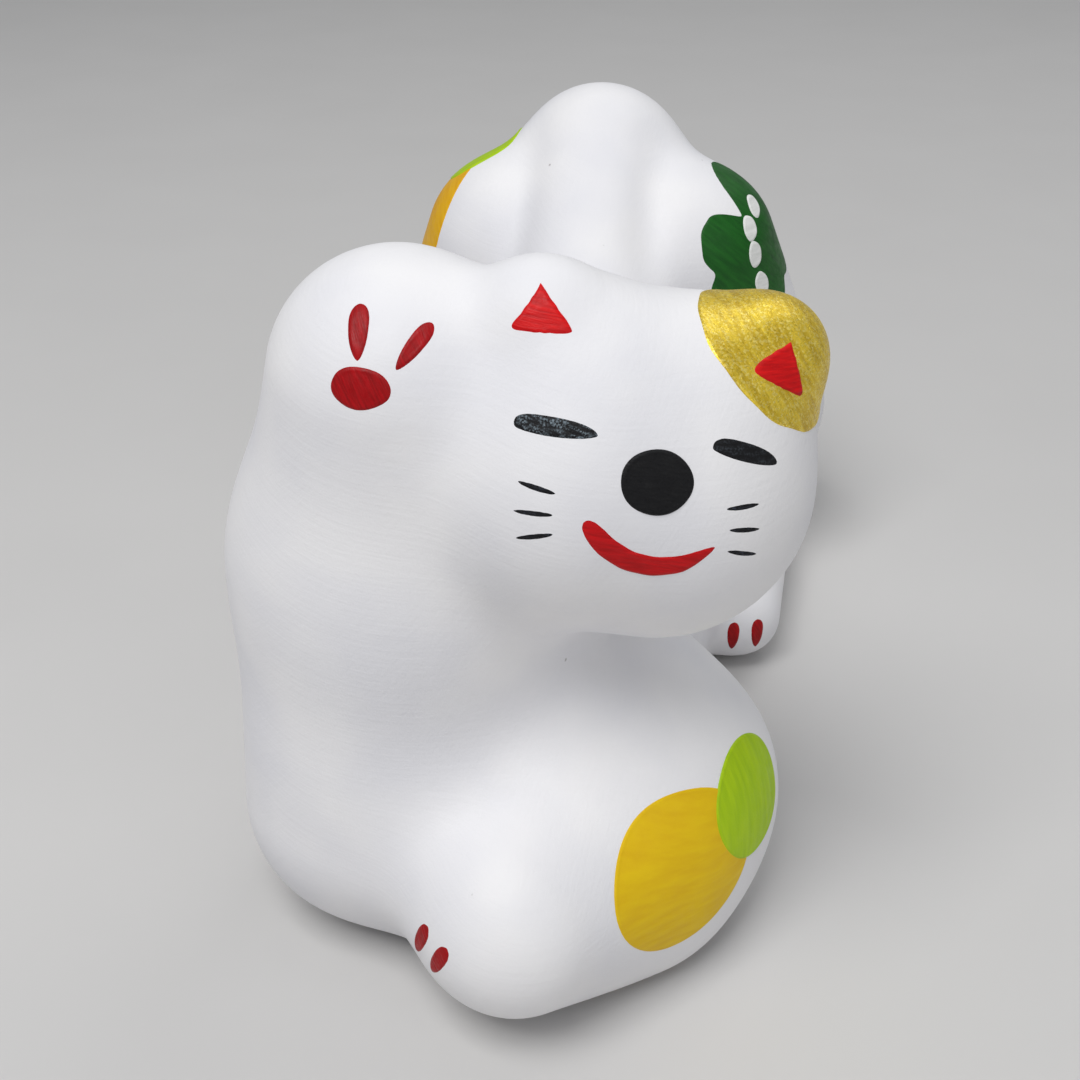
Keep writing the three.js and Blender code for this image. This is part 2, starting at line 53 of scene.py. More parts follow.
SHOULDER, ELBOW, RAISED_PAW = (-15.9, -28.9, 17), (-11.7, -22.8, 50.4), (-10.2, -28.5, 76.8)
FOREARM_ELBOW, FOREPAW = (12.8, -29.1, 10.7), (6, -47.1, 14.2)
NECK, WAIST, RUMP = (2, -8, 34), (2, 30, 36), (-0.8, 73.7, 70.8)
HAUNCH, THIGH = (15.2, 67.2, 60.3), (21.4, 75.1, 29.2)
HEEL, HIND_TOES = (25.1, 73, 9.5), (28.7, 36, 7.5)
CHEST, CHEST_RADII = (5.9, -20.6, 17), (30.3, 20.7, 23.5)
BELLY, BELLY_RADII = (1, 30, 16), (24.5, 50, 27)
TAIL_ROOT, TAIL_TIP = (0, 87.7, 44.8), (0, 93.7, 53.8)
HEAD, HEAD_TURN, HEAD_TILT = (15, -27.8, 67.7), 18, 13


def facing(centre, turn, raise_up, roll):
    """A frame on the cat: its middle, and unit vectors across, up and out, as seen from in front."""
    a, e, r = np.radians([turn, raise_up, roll])
    out = np.array([np.sin(a) * np.cos(e), -np.cos(a) * np.cos(e), np.sin(e)])
    level = np.array([np.cos(a), np.sin(a), 0.0])
    upright = np.cross(out, level)
    across = level * np.cos(r) - upright * np.sin(r)
    return np.array(centre, float), across, np.cross(out, across), out


FACE = facing(HEAD, HEAD_TURN, 0, HEAD_TILT)


def on_head(across, up, out=0.0):
    return FACE[0] + across * FACE[1] + up * FACE[2] + out * FACE[3]


def limb(p, a, b, radius_a, radius_b):
    """Signed distance to two balls and the cone that is tangent to both."""
    a, axis = np.array(a, float), np.subtract(b, a).astype(float)
    length2, taper = axis @ axis, radius_a - radius_b
    slope2 = length2 - taper * taper
    along = (p - a) @ axis
    past = along - length2
    side = (p - a) * length2 - along[:, None] * axis
    side2 = (side * side).sum(1)
    lean = np.sign(taper) * taper * taper * side2
    at_b = np.sqrt(side2 + past * past * length2) / length2 - radius_b
    at_a = np.sqrt(side2 + along * along * length2) / length2 - radius_a
    between = (np.sqrt(side2 * slope2 / length2) + along * taper) / length2 - radius_a
    beyond_a = np.sign(along) * slope2 * along * along * length2 < lean
    beyond_b = np.sign(past) * slope2 * past * past * length2 > lean
    return np.where(beyond_b, at_b, np.where(beyond_a, at_a, between))


def egg(p, centre, radii):
    scaled = (p - np.array(centre)) / np.array(radii)
    reach = np.sqrt((scaled**2).sum(1))
    steep = np.sqrt(((scaled / np.array(radii)) ** 2).sum(1))
    return reach * (reach - 1) / np.maximum(steep, 1e-6)


def smoothed(a, b, reach):
    """The nearer of two forms, with the valley between them filled as a thumb smooths clay."""
    meet = np.maximum(reach - np.abs(a - b), 0) / reach
    return np.minimum(a, b) - meet**3 * reach / 6


def head_form(p):
    cheeks = limb(p, on_head(-4.5, -1.2), on_head(4.5, -1.2), 18.5, 18.5)
    head = smoothed(cheeks, limb(p, on_head(-4, 8), on_head(4, 8), 12.4, 12.4), 10)
    for side in (-1, 1):
        ear = limb(p, on_head(side * 10, 11.3), on_head(side * 13.2, 16), 7.7, 6.6)
        head = smoothed(head, ear, 9)
    return head


def front_form(p):
    arm = smoothed(limb(p, SHOULDER, ELBOW, 17.6, 21.3), limb(p, ELBOW, RAISED_PAW, 21.3, 15.3), 10)
    front = smoothed(arm, egg(p, CHEST, CHEST_RADII), 18)
    front = smoothed(front, limb(p, FOREARM_ELBOW, FOREPAW, 18.2, 12), 19)
    return smoothed(front, limb(p, NECK, WAIST, 15, 15), 16)


def mirrored(place, side):
    return side * place[0], place[1], place[2]


def hind_form(p):
    hind = limb(p, WAIST, RUMP, 15, 14.9)
    for side in (-1, 1):
        thigh = limb(p, mirrored(THIGH, side), mirrored(HAUNCH, side), 19.6, 14.7)
        foot = limb(p, mirrored(HEEL, side), mirrored(HIND_TOES, side), 12.1, 7.3)
        hind = smoothed(smoothed(hind, thigh, 11), foot, 9)
    hind = smoothed(hind, egg(p, BELLY, BELLY_RADII), 12)
    return smoothed(hind, limb(p, TAIL_ROOT, TAIL_TIP, 10, 6.5), 10)


GROOVE_DEPTH, GROOVE_WIDTH, GROOVE_LENGTH = 1.4, 3.4, 11
SPINE_ACROSS, GROOVE_FROM_SPINE, GROOVE_ALONG = -1, 10.5, 55
GROOVE_FOOT, GROOVE_FADE = 38, 8  # it starts at this height, and fades in over this much more


def spine_grooves(p):
    """How deep the clay is thumbed in down each side of the spine, on the slope up to the rump."""
    x, y, z = p.T
    across = np.exp(-(((np.abs(x - SPINE_ACROSS) - GROOVE_FROM_SPINE) / GROOVE_WIDTH) ** 2))
    along = np.exp(-(((y - GROOVE_ALONG) / GROOVE_LENGTH) ** 2))
    return GROOVE_DEPTH * across * (along * np.clip((z - GROOVE_FOOT) / GROOVE_FADE, 0, 1))


def clay(p):
    """Signed distance to the outside of the cat, with the faint unevenness of sponged clay."""
    form = smoothed(smoothed(front_form(p), head_form(p), 10), hind_form(p), 12) + spine_grooves(p)
    x, y, z = p.T
    uneven = np.sin(x / 5.1 + 0.7 * np.sin(z / 9)) * np.sin(y / 6.3 + 1.1) + np.sin(z / 4.4 + x / 11)
    return form + 0.06 * uneven


def casting(p):
    outside = -smoothed(-clay(p), p[:, 2], 3 * BASE_EDGE)
    hollow = -smoothed(-(clay(p) + WALL), p[:, 2] - WALL, 3)
    shell = -smoothed(-outside, hollow, 2.0)
    drain = np.hypot(p[:, 0] - DRAIN_PLACE[0], p[:, 1] - DRAIN_PLACE[1]) - DRAIN_RADIUS
    drain = np.maximum(drain, p[:, 2] - 3 * WALL)
    return -smoothed(-shell, drain, 3)


def slope_of(form, p, step=0.05):
    axes = np.eye(3) * step
    return np.stack([form(p + a) - form(p - a) for a in axes], 1) / (2 * step)


def drawn_to(form, p, passes=4, stride=1.2):
    """Points moved along the form's slope onto its surface."""
    for _ in range(passes):
        slope = slope_of(form, p)
        move = form(p) / np.maximum((slope**2).sum(1), 0.2)
        p = p - np.clip(move, -stride, stride)[:, None] * slope
    return p


def grid_points(mesh):
    flat = np.empty(len(mesh.vertices) * 3, np.float32)
    mesh.vertices.foreach_get("co", flat)
    return flat.reshape(-1, 3).astype(float) / MM


def into_scene(name, mesh):
    piece = bpy.data.objects.new(name, mesh)
    bpy.context.scene.collection.objects.link(piece)
    return piece


VOXEL = 1.0
cast_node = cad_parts["body_casting"]
blank = into_scene("clay_blank", cast_node.data.copy())
remesh = blank.modifiers.new("even_grid", "REMESH")
remesh.mode = "VOXEL"
remesh.voxel_size = VOXEL * MM
evened = blank.evaluated_get(bpy.context.evaluated_depsgraph_get())
cat_mesh = bpy.data.meshes.new_from_object(evened)
bpy.data.objects.remove(blank)
cat_points = drawn_to(casting, grid_points(cat_mesh))
cat_mesh.vertices.foreach_set("co", (cat_points * MM).astype(np.float32).ravel())
cat_mesh.polygons.foreach_set("use_smooth", [True] * len(cat_mesh.polygons))
cat_mesh.name = "clay_cat"
clay_cat = into_scene("clay_cat", cat_mesh)


class Finish:
    """A material in the making, with its patterns placed in the cat's own space, in millimetres."""

    def __init__(self, name, roughness, metallic=0.0, specular=0.5):
        self.material = bpy.data.materials.new(name)
        self.material.use_nodes = True
        self.nodes = self.material.node_tree.nodes
        self.links = self.material.node_tree.links
        self.shader = self.nodes["Principled BSDF"]
        self.shader.inputs["Roughness"].default_value = roughness
        self.shader.inputs["Metallic"].default_value = metallic
        self.shader.inputs["Specular IOR Level"].default_value = specular
        self.space = self.nodes.new("ShaderNodeTexCoord").outputs["Object"]

    def placed(self, size, stretch=(1, 1, 1), turn=(0, 0, 0)):
        """The cat's space, turned, and scaled so that a pattern's features are about size wide."""
        turned = self.nodes.new("ShaderNodeMapping")
        turned.vector_type = "TEXTURE"
        turned.inputs["Rotation"].default_value = [math.radians(t) for t in turn]
        turned.inputs["Scale"].default_value = [size * s * MM for s in stretch]
        self.links.new(self.space, turned.inputs["Vector"])
        return turned.outputs["Vector"]

    def noise(self, size, detail=2.0, **placing):
        pattern = self.nodes.new("ShaderNodeTexNoise")
        pattern.inputs["Scale"].default_value = 1.0
        pattern.inputs["Detail"].default_value = detail
        self.links.new(self.placed(size, **placing), pattern.inputs["Vector"])
        return pattern.outputs["Fac"]

    def cells(self, size, output="Distance", **placing):
        pattern = self.nodes.new("ShaderNodeTexVoronoi")
        pattern.inputs["Scale"].default_value = 1.0
        self.links.new(self.placed(size, **placing), pattern.inputs["Vector"])
        return pattern.outputs[output]

    def between(self, value, low, high, to_low=0.0, to_high=1.0):
        """Value's range low to high spread over to_low to to_high, and held at the ends."""
        spread = self.nodes.new("ShaderNodeMapRange")
        numbers = zip(("From Min", "From Max", "To Min", "To Max"), (low, high, to_low, to_high))
        for socket, number in numbers:
            spread.inputs[socket].default_value = number
        self.links.new(value, spread.inputs["Value"])
        return spread.outputs["Result"]

    def combine(self, a, b, operation="MULTIPLY"):
        both = self.nodes.new("ShaderNodeMath")
        both.operation = operation
        self.links.new(a, both.inputs[0])
        if isinstance(b, (int, float)):
            both.inputs[1].default_value = b
        else:
            self.links.new(b, both.inputs[1])
        return both.outputs[0]

    def blend(self, amount, a, b):
        """Colour a where amount is 0 and colour b where it is 1."""
        mixed = self.nodes.new("ShaderNodeMix")
        mixed.data_type = "RGBA"
        self.links.new(amount, mixed.inputs["Factor"])
        for socket, colour in ((mixed.inputs[6], a), (mixed.inputs[7], b)):
            if isinstance(colour, tuple):
                socket.default_value = (*colour, 1.0)
            else:
                self.links.new(colour, socket)
        return mixed.outputs[2]

    def colour(self, socket):
        self.links.new(socket, self.shader.inputs["Base Color"])

    def roughness(self, socket):
        self.links.new(socket, self.shader.inputs["Roughness"])

    def relief(self, *layers):
        """Bumps of the given (pattern, height) pairs, one on top of another."""
        normal = None
        for pattern, height in layers:
            bump = self.nodes.new("ShaderNodeBump")
            bump.inputs["Distance"].default_value = height * MM
            self.links.new(pattern, bump.inputs["Height"])
            if normal:
                self.links.new(normal, bump.inputs["Normal"])
            normal = bump.outputs["Normal"]
        self.links.new(normal, self.shader.inputs["Normal"])


def white_ground():
    """Matte white ground, brushed on in two coats: faint streaks, fine grain and a few pits, each pit
    sunk and darkened in the colour.
    """
    f = Finish("white_ground", 0.6, specular=0.35)
    cloud = f.between(f.noise(16, 2), 0.35, 0.65)
    base = f.blend(cloud, (0.79, 0.785, 0.815), (0.86, 0.85, 0.86))
    pit_shape = f.between(f.cells(4.5), 0.03, 0.07, 1.0, 0.0)
    rare = f.between(f.noise(3.0, 0), 0.60, 0.64)
    pits = f.combine(pit_shape, rare)
    f.colour(f.blend(f.combine(pits, 0.55), base, (0.25, 0.22, 0.20)))
    streaks = f.noise(0.45, 3, stretch=(14, 14, 1), turn=(12, 8, 0))
    crossing = f.noise(0.5, 2, stretch=(1, 12, 5), turn=(0, 35, 20))
    grain = f.noise(0.28, 2)
    f.roughness(f.between(f.noise(5, 3), 0.3, 0.7, 0.5, 0.68))
    f.relief((streaks, 0.035), (crossing, 0.03), (grain, 0.02), (f.combine(pits, -1.0), 0.08))
    return f.material


def bare_clay():
    """Fired white earthenware, sponged: cream, porous, and a little dusty."""
    f = Finish("bare_clay", 0.9, specular=0.2)
    f.colour(f.blend(f.between(f.noise(6, 4), 0.3, 0.7), (0.66, 0.56, 0.46), (0.78, 0.70, 0.61)))
    f.relief((f.noise(0.4, 3), 0.08), (f.cells(1.1), 0.04))
    return f.material


INSIDE, BASE_SKIN = 0.8, 0.25  # beyond these, a face is in the hollow or on the base
cat_mesh.materials.clear()
cat_mesh.materials.append(white_ground())
cat_mesh.materials.append(bare_clay())
face_middles = np.empty(len(cat_mesh.polygons) * 3, np.float32)
cat_mesh.polygons.foreach_get("center", face_middles)
face_middles = face_middles.reshape(-1, 3).astype(float) / MM
bare = (clay(face_middles) < -INSIDE) | (face_middles[:, 2] < BASE_SKIN)
cat_mesh.polygons.foreach_set("material_index", bare.astype(np.int32))
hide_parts("body_casting")
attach(clay_cat, "root")

# ---- Nose ----
# A full round blob of black paint, laid on with a loaded brush, so that it stands a little
# proud and dries matte with a grain. All the painted marks are made as this one is: a film
# that follows the clay, thin at its edge and slightly beaded just inside it.
REACH = 24.0  # where a mark's points start from, outside the clay
SUNK = 0.25  # how far a film's underside lies inside the clay


def brushed_grid(steps):
    """An even grid pressed into a unit disc: x, y, and how far in from the rim each point is."""
    s, t = np.meshgrid(np.linspace(-1, 1, steps), np.linspace(-1, 1, steps), indexing="ij")
    x, y = s * np.sqrt(1 - t * t / 2), t * np.sqrt(1 - s * s / 2)
    reach = np.minimum(np.hypot(x, y), 1.0)
    tight = 1 - (1 - reach) ** 1.5
    scale = np.where(reach > 1e-9, tight / np.maximum(reach, 1e-9), 1.5)
    return x * scale, y * scale, 1 - tight


def turned(place, turn, u, v):
    """u and v turned anticlockwise by degrees and moved to a place, as across and up."""
    a = math.radians(turn)
    across = place[0] + u * math.cos(a) - v * math.sin(a)
    return across, place[1] + u * math.sin(a) + v * math.cos(a)


def unit(vectors):
    return vectors / np.linalg.norm(vectors, axis=-1, keepdims=True)


def blob(place, radii, turn=0.0, wobble=0.02, seed=0):
    """An oval drawn by hand, a little uneven round its edge."""

    def outline(x, y):
        angle = np.arctan2(y, x)
        swell = 1 + wobble * (np.sin(3 * angle + seed) + 0.6 * np.sin(5 * angle + 2.3 * seed + 1))
        return turned(place, turn, x * radii[0] * swell, y * radii[1] * swell)

    return outline


def skin_at(view, across, up):
    """Where the clay's skin is, straight in from a frame's across and up, and its slope there."""
    middle, x_axis, y_axis, out = view
    start = middle + across[:, None] * x_axis + up[:, None] * y_axis
    reach = np.full(len(across), REACH)
    for _ in range(50):
        reach = np.maximum(reach - 0.8 * clay(start + reach[:, None] * out), 0)
    points = drawn_to(clay, start + reach[:, None] * out, 6, 3)
    return points, unit(slope_of(clay, points))


def grid_mesh(name, top, under):
    """A closed film from two matching square grids of points that share their rim."""
    steps = top.shape[0]
    index = np.arange(steps * steps).reshape(steps, steps)
    inner = np.zeros((steps, steps), bool)
    inner[1:-1, 1:-1] = True
    lower = index.copy()
    lower[inner] = steps * steps + np.arange(inner.sum())
    points = np.concatenate([top.reshape(-1, 3), under[inner]])

    def quads(grid):
        return np.stack([grid[:-1, :-1], grid[1:, :-1], grid[1:, 1:], grid[:-1, 1:]], -1).reshape(-1, 4)

    mesh = bpy.data.meshes.new(name)
    faces = quads(index).tolist() + quads(lower)[:, ::-1].tolist()
    mesh.from_pydata((points * MM).tolist(), [], faces)
    mesh.polygons.foreach_set("use_smooth", [True] * len(faces))
    mesh.update()
    return mesh


def film_over(points, normals, inward, thickness, width):
    """Top and underside of a coat: inward is 0 at its rim, and width is its half width there."""
    edge = inward * width
    bead = 0.25 * thickness * np.exp(-(((edge - 0.35) / 0.18) ** 2))
    lift = thickness * (1 - np.exp(-edge / 0.12)) + bead - 0.03
    return points + lift[:, None] * normals, points - SUNK * normals


def paint(name, node, finish, view, outline, width, thickness=0.11, steps=40):
    """A painted mark in place of its CAD node. width is about half the mark's own width."""
    steps = steps
    x, y, inward = (g.ravel() for g in brushed_grid(steps))
    points, normals = skin_at(view, *outline(x, y))
    top, under = film_over(points, normals, inward, thickness, width)
    mesh = grid_mesh(name, top.reshape(steps, steps, 3), under.reshape(steps, steps, 3))
    mesh.materials.append(finish)
    piece = into_scene(name, mesh)
    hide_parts(node)
    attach(piece, "root")
    return piece


def black_paint(name, glint_share, grey=(0.10, 0.12, 0.14)):
    """Black brushed paint. Where the brush ran nearly empty, the ridges of the stroke catch the light;
    that glint is painted into the colour as grey flecks.
    """
    f = Finish(name, 0.6, specular=0.25)
    bristles = f.noise(0.35, 4, stretch=(5, 5, 1), turn=(0, HEAD_TILT, HEAD_TURN))
    specks = f.noise(0.22, 3)
    # Painted highlight: grey flecks on the stroke ridges, mixed into the colour by this mask.
    painted_glint = f.combine(f.between(bristles, 0.42, 0.66), f.between(specks, 0.45, 0.62))
    f.colour(f.blend(f.combine(painted_glint, glint_share), (0.003, 0.003, 0.004), grey))
    f.roughness(f.between(specks, 0.3, 0.7, 0.45, 0.8))
    f.relief((bristles, 0.10), (specks, 0.06))
    return f.material


# Its faint grey flecks are painted highlight.
NOSE_BLACK = black_paint("nose_black", 0.3, (0.03, 0.03, 0.03))
paint("painted_nose", "nose", NOSE_BLACK, FACE,
      blob((-1.0, 6.5), (3.95, 3.25), wobble=0.012), 3.6, thickness=0.2, steps=48)

# ---- Mouth ----
# A one-sided smile in red, pulled in one stroke from the cat's right to its left: the brush
# lands full and round, and lifts off to a thin point.


def red_paint(name, deep=(0.42, 0.001, 0.003), bright=(0.58, 0.003, 0.006), turn=(0, 13, 18)):
    """Satin red paint, streaked along the stroke."""
    f = Finish(name, 0.45, specular=0.22)
    bristles = f.noise(0.30, 3, stretch=(9, 9, 1), turn=turn)
    f.colour(f.blend(f.between(bristles, 0.35, 0.65), deep, bright))
    f.roughness(f.between(f.noise(0.8, 3), 0.3, 0.7, 0.38, 0.58))
    f.relief((bristles, 0.08), (f.noise(0.2, 2), 0.02))
    return f.material


SMILE = [(-7.9, 1.6), (-5.0, -0.9), (-2.1, -2.3), (0.8, -2.6), (3.6, -1.9), (6.9, 0.7)]
SMILE_FULLNESS = [1.1, 1.2, 1.25, 1.25, 1.1, 0.4]


def along_and_aside(x, y):
    """A point of the unit disc as its place along a stroke and its share of the half width there."""
    along = np.clip(x, -1, 1)
    return along, np.clip(y / np.maximum(np.sqrt(1 - along * along), 1e-3), -1, 1)


def smile(x, y):
    """The brush's path across the mouth, with its half width along the way."""
    along, share = along_and_aside(x, y)
    knots, at = np.linspace(-1, 1, len(SMILE)), np.linspace(-1, 1, 201)
    path = [np.interp(at, knots, [point[k] for point in SMILE]) for k in (0, 1)]
    soft = np.hanning(41) / np.hanning(41).sum()
    path = [np.pad(line, 20, "reflect", reflect_type="odd") for line in path]
    path = [np.convolve(line, soft, "valid") for line in path]
    run, rise = (np.gradient(line) for line in path)
    speed = np.hypot(run, rise)
    half = np.interp(along, knots, SMILE_FULLNESS) * np.sqrt(np.maximum(1 - np.abs(along) ** 9, 0))
    sideways = np.stack([np.interp(along, at, -rise / speed), np.interp(along, at, run / speed)])
    middle = [np.interp(along, at, line) for line in path]
    return tuple(middle[k] + share * half * sideways[k] for k in (0, 1))


MOUTH_RED = red_paint("mouth_red")
paint("painted_mouth", "mouth", MOUTH_RED, FACE, smile, 1.2, thickness=0.14, steps=56)

# ---- Eyes ----
# Closed, smiling eyes, each one arched stroke of black. The right one was painted with a nearly empty
# brush, and its grey flecks are painted highlight on the stroke ridges.


def eye(place, turn, length=8.5, above=1.5, below=0.3):
    """A blunt half moon: its arch is highest near the cat's right end."""

    def outline(x, y):
        along, share = along_and_aside(x, y)
        leaning = 2 * ((along + 1) / 2) ** 0.72 - 1
        top = above * (1 - np.abs(leaning) ** 2.4) ** 0.55
        bottom = -below * (1 - np.abs(along) ** 2.4) ** 0.55
        height = (top + bottom) / 2 + share * (top - bottom) / 2
        return turned(place, turn, along * length / 2, height)

    return outline


# Both eye blacks carry grey flecks of painted highlight; the right eye's cover the most of it.
GLINT_FLECKED_BLACK, EYE_BLACK = black_paint("black_with_painted_glint", 1.0, (0.22, 0.27, 0.31)), black_paint("eye_black", 0.3)
for side, node, finish, place, turn in (
    ("right", "right_eye", GLINT_FLECKED_BLACK, (-11.9, 9.0), 12),
    ("left", "left_eye", EYE_BLACK, (8.4, 9.7), -9.5),
):
    paint(f"painted_{side}_eye", node, finish, FACE, eye(place, turn), 0.9, steps=48)

# ---- Whiskers ----
# Three short flicks of a fine brush on each cheek, in blue-black, thin at both ends.
# The blue-grey flecks in this black are painted highlight, as on the eyes.
WHISKER_BLACK = black_paint("whisker_black", 0.5, (0.06, 0.07, 0.10))


def flick(place, length, width, turn, fullness=0.0):
    """One touch of the brush, pointed at both ends, or fuller at its start with fullness."""

    def outline(x, y):
        along, share = along_and_aside(x, y)
        taper = np.maximum(1 - np.abs(along) ** (2 + 2 * fullness * (along < 0)), 0) ** 0.6
        half = width / 2 * taper * (1 - 0.5 * fullness * (along + 1) / 2)
        return turned(place, turn, along * length / 2, share * half)

    return outline


for name, right, left in (
    ("upper", ((-13.0, 3.45), 2), ((9.0, 5.05), 8)),
    ("middle", ((-12.8, 0.8), 15), ((9.8, 2.6), 0)),
    ("lower", ((-12.2, -1.7), 29), ((10.3, -0.1), -8)),
):
    for side, (place, turn) in (("right", right), ("left", left)):
        paint(f"painted_{side}_whisker_{name}", f"{side}_whisker_{name}",
              WHISKER_BLACK, FACE, flick(place, 4.5, 0.65, turn), 0.3, thickness=0.07, steps=22)

# ---- Ears ----
# A red triangle on each ear. The left ear was first dipped round in gold paint, a bright bronze
# powder in lacquer that dries with visible flake and brush marks, and the red went on over it.


def triangle(corners, seed=0):
    """Three straight sides with the blunt corners that a brush leaves."""
    corners = np.array(corners)
    middle = corners.mean(0)

    def outline(x, y):
        angle = np.arctan2(y, x)
        way = np.stack([np.cos(angle), np.sin(angle)], 1)
        edge = np.zeros(len(x))
        for k in range(3):
            side = corners[(k + 1) % 3] - corners[k]
            outward = np.array([side[1], -side[0]]) / np.linalg.norm(side)
            away = (corners[k] - middle) @ outward
            outward, away = (outward, away) if away > 0 else (-outward, -away)
            edge = np.maximum(edge, way @ outward / away)
        farthest = np.linalg.norm(corners - middle, axis=1).mean() * 0.97
        edge = (edge**16 + farthest**-16.0) ** (-1 / 16) * (1 + 0.015 * np.sin(9 * angle + seed))
        reach = np.hypot(x, y) * edge
        return middle[0] + reach * np.cos(angle), middle[1] + reach * np.sin(angle)

    return outline


EAR_RED = red_paint("ear_red", (0.50, 0.001, 0.003), (0.70, 0.004, 0.005), turn=(0, 8, 10))
paint("painted_right_ear_mark", "right_ear_mark", EAR_RED, FACE,
      triangle([(-14.9, 21.2), (-17.7, 16.3), (-10.9, 17.8)]), 1.6, thickness=0.12, steps=40)
paint("painted_left_ear_mark", "left_ear_mark", EAR_RED, FACE,
      triangle([(12.9, 20.1), (7.7, 17.4), (15.8, 14.5)], 2), 1.6, thickness=0.24, steps=40)


def gold_paint():
    f = Finish("gold_paint", 0.42, metallic=0.55, specular=0.5)
    strokes = f.noise(0.5, 4, stretch=(1, 8, 8), turn=(0, -30, 20))
    flake = f.cells(0.22, "Color")
    glint = f.nodes.new("ShaderNodeSeparateColor")
    f.links.new(flake, glint.inputs["Color"])
    # Painted glint: flakes are coloured a paler yellow where they would catch the light; their
    # roughness and relief are their own.
    sparkle = f.between(glint.outputs["Red"], 0.55, 1.0)
    # Gold lighter and darker along the brush strokes: real brush marks, with the lighter streaks as
    # painted highlight.
    streaks_and_painted_highlight = f.blend(f.between(strokes, 0.35, 0.65), (0.62, 0.42, 0.02), (0.86, 0.63, 0.05))
    f.colour(f.blend(f.combine(sparkle, 0.45), streaks_and_painted_highlight, (1.0, 0.88, 0.32)))
    f.roughness(f.between(glint.outputs["Green"], 0.0, 1.0, 0.22, 0.55))
    f.relief((strokes, 0.10), (glint.outputs["Blue"], 0.035))
    return f.material


GOLD_MIDDLE, GOLD_RADIUS = on_head(14.4, 21.9, 4.6), 11.8
steps = 72
x, y, inward = (g.ravel() for g in brushed_grid(steps))
angle, reach = np.arctan2(y, x), np.hypot(x, y)
ear_out = unit(slope_of(clay, GOLD_MIDDLE[None])[0])
ear_across = unit(np.cross((0, 0, 1.0), ear_out))
ear_up = np.cross(ear_out, ear_across)
sideways = np.cos(angle)[:, None] * ear_across + np.sin(angle)[:, None] * ear_up
radius = reach * GOLD_RADIUS * (1 + 0.008 * np.sin(7 * angle) + 0.006 * np.sin(13 * angle + 1))
LEG_UP, LEG_DOWN = -0.6, 1.5  # radians either way from the ear's own slope
low, high = np.full(len(radius), LEG_UP), np.full(len(radius), LEG_DOWN)
for _ in range(30):  # swing each compass leg in until it touches the clay
    swing = (low + high) / 2
    leg = np.cos(swing)[:, None] * sideways - np.sin(swing)[:, None] * ear_out
    touching = clay(GOLD_MIDDLE + radius[:, None] * leg) < 0
    low, high = np.where(touching, low, swing), np.where(touching, swing, high)
points = drawn_to(clay, GOLD_MIDDLE + radius[:, None] * leg, 2)
normals = unit(slope_of(clay, points))
top, under = film_over(points, normals, inward, 0.12, GOLD_RADIUS)
gold_mesh = grid_mesh("gilded_left_ear", top.reshape(steps, steps, 3), under.reshape(steps, steps, 3))
gold_mesh.materials.append(gold_paint())
gilded_ear = into_scene("gilded_left_ear", gold_mesh)
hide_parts("left_ear_gold")
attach(gilded_ear, "root")

# ---- Paws ----
# Dark red pads: an oval and two toes on the raised palm, and two toes on each resting paw, each
# toe one touch of a round brush.
PAD_RED = red_paint("pad_red", (0.26, 0.0008, 0.002), (0.40, 0.001, 0.004), turn=(0, 60, 0))
PALM = facing(RAISED_PAW, 0, 15, 0)
paint("painted_palm_pad", "raised_paw_pad", PAD_RED, PALM,
      blob((-0.5, 1.3), (3.3, 2.25), -3, 0.02, 1), 2.2, thickness=0.13)
for number, place, turn, width in ((1, (-1.2, 6.9), -84, 2.7), (2, (4.75, 5.8), -123, 2.2)):
    paint(f"painted_palm_toe_{number}", f"raised_paw_toe_{number}", PAD_RED, PALM,
          flick(place, 5.7, width, turn, 0.7), 1.0, thickness=0.13, steps=30)

KNUCKLES = facing(FOREPAW, -40, -15, 0)
for number, place, turn in ((1, (-3.4, 4.2), -115), (2, (0.2, 3.6), -118)):
    paint(f"painted_forepaw_toe_{number}", f"forepaw_toe_{number}", PAD_RED, KNUCKLES,
          flick(place, 6.2, 2.3, turn, 0.7), 1.0, thickness=0.13, steps=30)

for side, name in ((-1, "right"), (1, "left")):
    TOES = facing(mirrored(HIND_TOES, side), side * 10, 10, 0)
    for number, across in ((1, -1.5), (2, 2.6)):
        paint(f"painted_{name}_hind_toe_{number}", f"{name}_hind_toe_{number}", PAD_RED,
              TOES, flick((side * across, -0.9), 5.4, 2.4, -90, 0.7), 1.0, thickness=0.13, steps=30)

# ---- Spots on the left forearm ----
# A big yellow round, and a lime green one lapping over its outer edge, in opaque satin paint.


def spot_paint(name, thin, full, turn=(0, 0, 0)):
    f = Finish(name, 0.5, specular=0.25)
    strokes = f.noise(0.6, 3, stretch=(8, 8, 1), turn=turn)
    f.colour(f.blend(f.between(strokes, 0.3, 0.7), thin, full))
    f.roughness(f.between(f.noise(1.2, 3), 0.3, 0.7, 0.36, 0.55))
    f.relief((strokes, 0.06), (f.noise(0.25, 2), 0.02))
    return f.material


FOREARM = facing(FOREARM_ELBOW, 35, 15, 0)
YELLOW = spot_paint("yellow_paint", (0.74, 0.46, 0.002), (0.80, 0.54, 0.003), (20, 30, 0))
LIME = spot_paint("lime_paint", (0.34, 0.54, 0.002), (0.42, 0.62, 0.003), (70, 20, 0))
paint("yellow_forearm_spot", "forearm_yellow_spot", YELLOW, FOREARM,
      blob((4.0, 3.6), (11.2, 9.8), 20, 0.012, 2), 10, thickness=0.10, steps=80)
paint("lime_forearm_spot", "forearm_lime_spot", LIME, FOREARM,
      blob((16.0, 8.3), (6.3, 7.6), -12, 0.012, 4), 6.8, thickness=0.20, steps=64)

